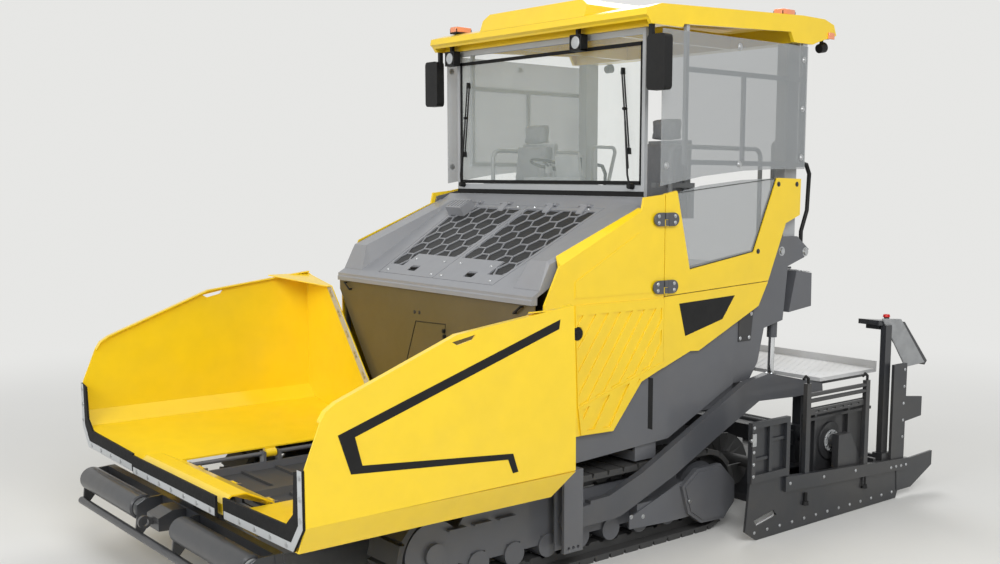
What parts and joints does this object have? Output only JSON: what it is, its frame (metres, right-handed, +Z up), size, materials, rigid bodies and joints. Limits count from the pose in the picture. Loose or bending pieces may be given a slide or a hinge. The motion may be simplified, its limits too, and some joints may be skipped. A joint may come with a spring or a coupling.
{
  "type": "tracked asphalt paver",
  "caption": "Road paver on tracks with a folding front hopper, glazed operator's canopy, spreading augers and a lifting, extending screed.",
  "frame": {"origin": "on the ground under the middle of the machine", "axes": "+X towards the hopper, +Y to the machine's left, +Z up"},
  "size_m": [6.0109, 3.27, 3.822],
  "materials": {
    "frame_grey": "satin",
    "body_yellow": "gloss",
    "hood_grey": "satin",
    "track_steel": "worn",
    "rubber_black": "matte",
    "roller_steel": "satin",
    "clear_glass": "clear",
    "tinted_glass": "tinted",
    "engine_iron": "rough",
    "seat_shell": "matte",
    "seat_fabric": "woven",
    "desk_plastic": "satin",
    "rail_grey": "satin",
    "mirror_black": "matte",
    "lamp_lens": "gloss",
    "deck_aluminium": "brushed",
    "bright_rod": "polished",
    "blade_steel": "worn"
  },
  "bodies": {
    "chassis": {"main_frame": "frame_grey", "track_frames": "frame_grey", "conveyor": "blade_steel", "hopper_bulkhead": "frame_grey", "engine": "engine_iron", "hood_frame": "hood_grey", "side_frames": "frame_grey", "side_panels": "body_yellow", "door_hinges": "frame_grey", "rear_body": "frame_grey", "rear_columns": "frame_grey", "platform": "frame_grey", "cab_frame": "rail_grey", "windshield": "clear_glass", "side_windows": "tinted_glass", "roof": "body_yellow", "seats": "seat_shell", "seat_cushions": "seat_fabric", "console": "desk_plastic", "handrails": "rail_grey", "mirrors": "mirror_black", "lamps": "lamp_lens", "auger_drive": "frame_grey", "track_left": "track_steel", "track_right": "track_steel"},
    "apron": {"front_apron": "body_yellow", "apron_flap": "rubber_black"},
    "push_beam": {"push_beam": "frame_grey"},
    "screed": {"tow_arms": "frame_grey", "screed_body": "frame_grey", "walkway": "deck_aluminium"},
    "wing_left": {"hopper_wing_left": "body_yellow", "wing_flap_left": "rubber_black"},
    "push_roller_left": {"push_roller_left": "roller_steel"},
    "hood_door_left": {"hood_door_left": "hood_grey"},
    "side_door_left": {"side_door_left": "body_yellow"},
    "auger_left": {"auger_left": "blade_steel"},
    "extension_left": {"screed_extension_left": "frame_grey", "end_gate_left": "frame_grey", "screed_console_left": "frame_grey"},
    "lift_barrel_left": {"lift_barrel_left": "frame_grey"},
    "lift_rod_left": {"lift_rod_left": "bright_rod"},
    "wing_right": {"hopper_wing_right": "body_yellow", "wing_flap_right": "rubber_black"},
    "push_roller_right": {"push_roller_right": "roller_steel"},
    "hood_door_right": {"hood_door_right": "hood_grey"},
    "side_door_right": {"side_door_right": "body_yellow"},
    "auger_right": {"auger_right": "blade_steel"},
    "extension_right": {"screed_extension_right": "frame_grey", "end_gate_right": "frame_grey", "screed_console_right": "frame_grey"},
    "lift_barrel_right": {"lift_barrel_right": "frame_grey"},
    "lift_rod_right": {"lift_rod_right": "bright_rod"}
  },
  "joints": [
    {"name": "wing_fold_left", "type": "hinge", "parent": "chassis", "child": "wing_left", "pos_m": [1.82, 0.68, 0.615], "axis": [1, 0, 0], "range_deg": [0, 56]},
    {"name": "roller_spin_left", "type": "hinge", "parent": "push_beam", "child": "push_roller_left", "pos_m": [2.866, 0.765, 0.494], "axis": [0, 1, 0], "continuous": true},
    {"name": "hood_open_left", "type": "hinge", "parent": "chassis", "child": "hood_door_left", "pos_m": [0.033, 0.4, 2.36105], "axis": [0, -1, 0], "range_deg": [0, 60]},
    {"name": "door_swing_left", "type": "hinge", "parent": "chassis", "child": "side_door_left", "pos_m": [-0.154, 1.265, 1.822], "axis": [0, 0, 1], "range_deg": [0, 100]},
    {"name": "auger_turn_left", "type": "hinge", "parent": "chassis", "child": "auger_left", "pos_m": [-1.24, 0.6, 0.4], "axis": [0, 1, 0], "continuous": true},
    {"name": "extension_slide_left", "type": "slide", "parent": "screed", "child": "extension_left", "axis": [0, 1, 0], "range_m": [-0.26, 0.9]},
    {"name": "lift_swing_left", "type": "hinge", "parent": "chassis", "child": "lift_barrel_left", "pos_m": [-1.466, 1.135, 2.016], "axis": [0, -1, 0], "range_deg": [0, 7.44]},
    {"name": "lift_stroke_left", "type": "slide", "parent": "lift_barrel_left", "child": "lift_rod_left", "axis": [-0.0163, 0, 0.9999], "range_m": [0, 0.2523]},
    {"name": "wing_fold_right", "type": "hinge", "parent": "chassis", "child": "wing_right", "pos_m": [1.82, -0.68, 0.615], "axis": [-1, 0, 0], "range_deg": [0, 56]},
    {"name": "roller_spin_right", "type": "hinge", "parent": "push_beam", "child": "push_roller_right", "pos_m": [2.866, -0.765, 0.494], "axis": [0, 1, 0], "continuous": true},
    {"name": "hood_open_right", "type": "hinge", "parent": "chassis", "child": "hood_door_right", "pos_m": [0.033, -0.4, 2.36105], "axis": [0, -1, 0], "range_deg": [0, 60]},
    {"name": "door_swing_right", "type": "hinge", "parent": "chassis", "child": "side_door_right", "pos_m": [-0.154, -1.265, 1.822], "axis": [0, 0, -1], "range_deg": [0, 100]},
    {"name": "auger_turn_right", "type": "hinge", "parent": "chassis", "child": "auger_right", "pos_m": [-1.24, -0.6, 0.4], "axis": [0, 1, 0], "continuous": true},
    {"name": "extension_slide_right", "type": "slide", "parent": "screed", "child": "extension_right", "axis": [0, -1, 0], "range_m": [-0.26, 0.9]},
    {"name": "lift_swing_right", "type": "hinge", "parent": "chassis", "child": "lift_barrel_right", "pos_m": [-1.466, -1.135, 2.016], "axis": [0, -1, 0], "range_deg": [0, 7.44]},
    {"name": "lift_stroke_right", "type": "slide", "parent": "lift_barrel_right", "child": "lift_rod_right", "axis": [-0.0163, 0, 0.9999], "range_m": [0, 0.2523]},
    {"name": "apron_tilt", "type": "hinge", "parent": "chassis", "child": "apron", "pos_m": [2.4, 0, 0.615], "axis": [0, -1, 0], "range_deg": [0, 70]},
    {"name": "beam_swing", "type": "hinge", "parent": "chassis", "child": "push_beam", "pos_m": [2.64, 0, 0.494], "axis": [0, 0, 1], "range_deg": [-6, 6]},
    {"name": "screed_lift", "type": "hinge", "parent": "chassis", "child": "screed", "pos_m": [0.705, 0, 0.361], "axis": [0, 1, 0], "range_deg": [0, 7]}
  ],
  "couplings": [
    {"joint": "lift_swing_left", "follows": "screed_lift", "ratio": 1.0563},
    {"joint": "lift_stroke_left", "follows": "screed_lift", "m_per_rad": 2.0566},
    {"joint": "lift_swing_right", "follows": "screed_lift", "ratio": 1.0563},
    {"joint": "lift_stroke_right", "follows": "screed_lift", "m_per_rad": 2.0566}
  ]
}
